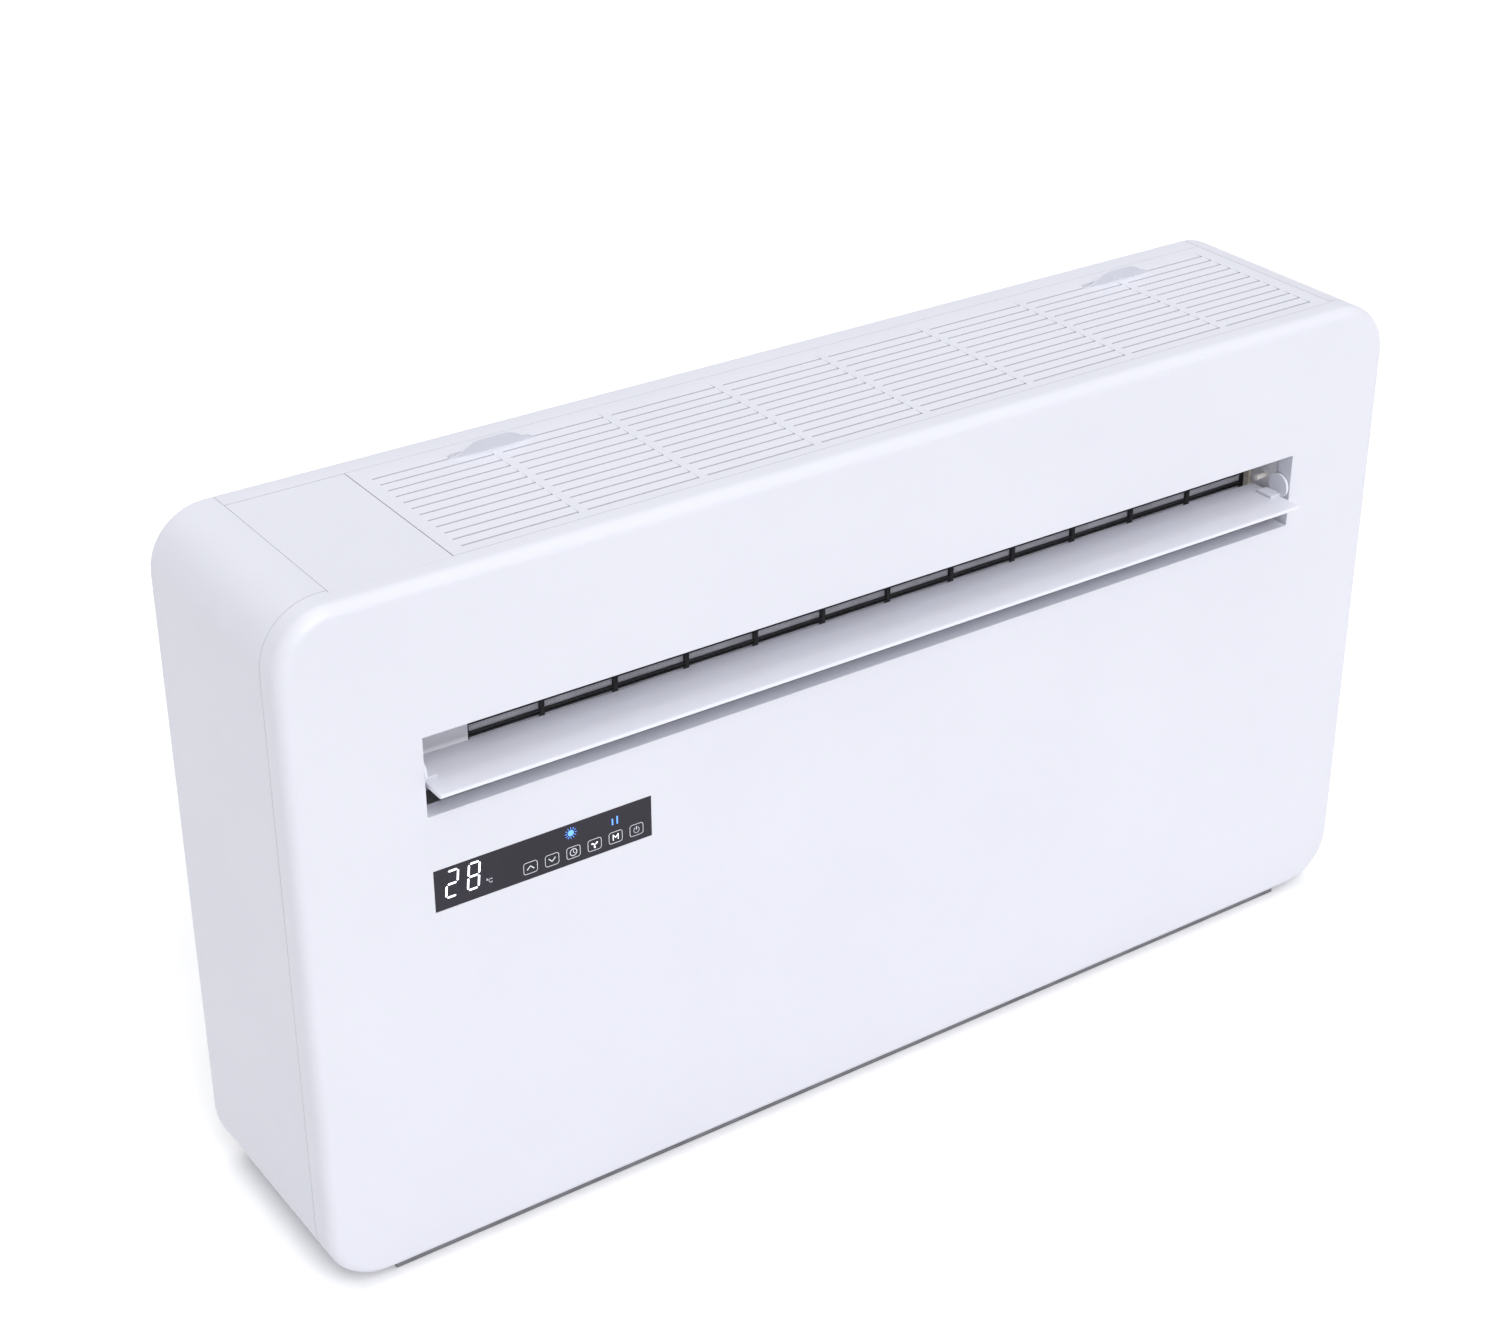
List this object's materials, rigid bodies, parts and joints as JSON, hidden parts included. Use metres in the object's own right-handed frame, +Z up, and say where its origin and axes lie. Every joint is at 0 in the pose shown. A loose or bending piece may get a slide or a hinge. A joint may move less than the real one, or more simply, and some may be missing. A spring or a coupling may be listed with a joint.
{
  "type": "wall-mounted monobloc air conditioner",
  "caption": "White wall air conditioner without outdoor unit: rounded cabinet, slotted top intake grille, hinged outlet flap over a front slot, touch display, rear air duct ports",
  "frame": {"origin": "underside of the base tray, at the cabinet's mid width and mid depth", "axes": "+X along the width, to the right seen from the front; the front faces -Y; +Z up"},
  "size_m": [1, 0.2197, 0.5707],
  "materials": {
    "white_plastic": "satin",
    "cream_plastic": "satin",
    "cream_foam": "matt",
    "black_plastic": "satin",
    "grey_plastic": "matt",
    "dark_gloss": "gloss",
    "board": "satin",
    "filter": "matt",
    "zinc_sheet": "satin",
    "motor_steel": "satin",
    "coil": "satin",
    "black_steel": "satin",
    "rubber": "matt",
    "copper": "satin"
  },
  "bodies": {
    "cabinet": {"front_panel": "white_plastic", "rear_housing": "white_plastic", "blank_cover": "white_plastic", "back_screw_1": "zinc_sheet", "back_screw_2": "zinc_sheet", "back_screw_3": "zinc_sheet", "back_screw_4": "zinc_sheet", "flap_motor": "motor_steel", "flap_stop_upper": "cream_plastic", "flap_stop_lower": "cream_plastic", "outlet_guard": "black_plastic", "blower_scroll": "zinc_sheet", "blower_tongue": "white_plastic", "duct_end_plate": "zinc_sheet", "duct_seal_strip": "cream_foam", "duct_end_block": "white_plastic", "fan_motor": "motor_steel", "fan_bearing": "rubber", "evaporator_coil": "coil", "drip_tray": "white_plastic", "control_box": "grey_plastic", "main_board": "board", "display_window": "dark_gloss", "display_board": "board", "mid_deck": "zinc_sheet", "base_pan": "zinc_sheet", "exhaust_collar": "white_plastic", "intake_collar": "white_plastic", "condenser_coil": "coil", "exhaust_fan_motor": "motor_steel", "fan_drum": "white_plastic", "compressor": "black_steel", "compressor_foot_1": "rubber", "compressor_foot_2": "rubber", "compressor_foot_3": "rubber", "accumulator": "black_steel", "discharge_pipe": "copper", "suction_pipe": "copper", "accumulator_pipe": "copper", "liquid_pipe": "copper", "filter_drier": "copper", "capillary_pipe": "copper", "drain_spout": "white_plastic", "cord_gland": "rubber", "base_tray": "black_steel", "guard_mesh": "zinc_sheet"},
    "flap": {"outlet_flap": "white_plastic", "flap_clip_left": "white_plastic", "flap_clip_right": "cream_plastic"},
    "top_grille": {"intake_grille": "white_plastic", "dust_filter_left": "filter", "dust_filter_right": "filter"},
    "blower_wheel": {"crossflow_fan": "grey_plastic"},
    "exhaust_wheel": {"exhaust_fan": "grey_plastic"}
  },
  "joints": [
    {"name": "flap_hinge", "type": "hinge", "parent": "cabinet", "child": "flap", "pos_m": [0, -0.0906, 0.4157], "axis": [1, 0, 0], "range_deg": [-90, 15]},
    {"name": "grille_hinge", "type": "hinge", "parent": "cabinet", "child": "top_grille", "pos_m": [0, -0.0787, 0.5612], "axis": [1, 0, 0], "range_deg": [0, 75]},
    {"name": "blower_spin", "type": "hinge", "parent": "cabinet", "child": "blower_wheel", "pos_m": [0, 0.02, 0.438], "axis": [1, 0, 0], "continuous": true},
    {"name": "exhaust_spin", "type": "hinge", "parent": "cabinet", "child": "exhaust_wheel", "pos_m": [-0.19, -0.01, 0.173], "axis": [0, 1, 0], "continuous": true}
  ]
}
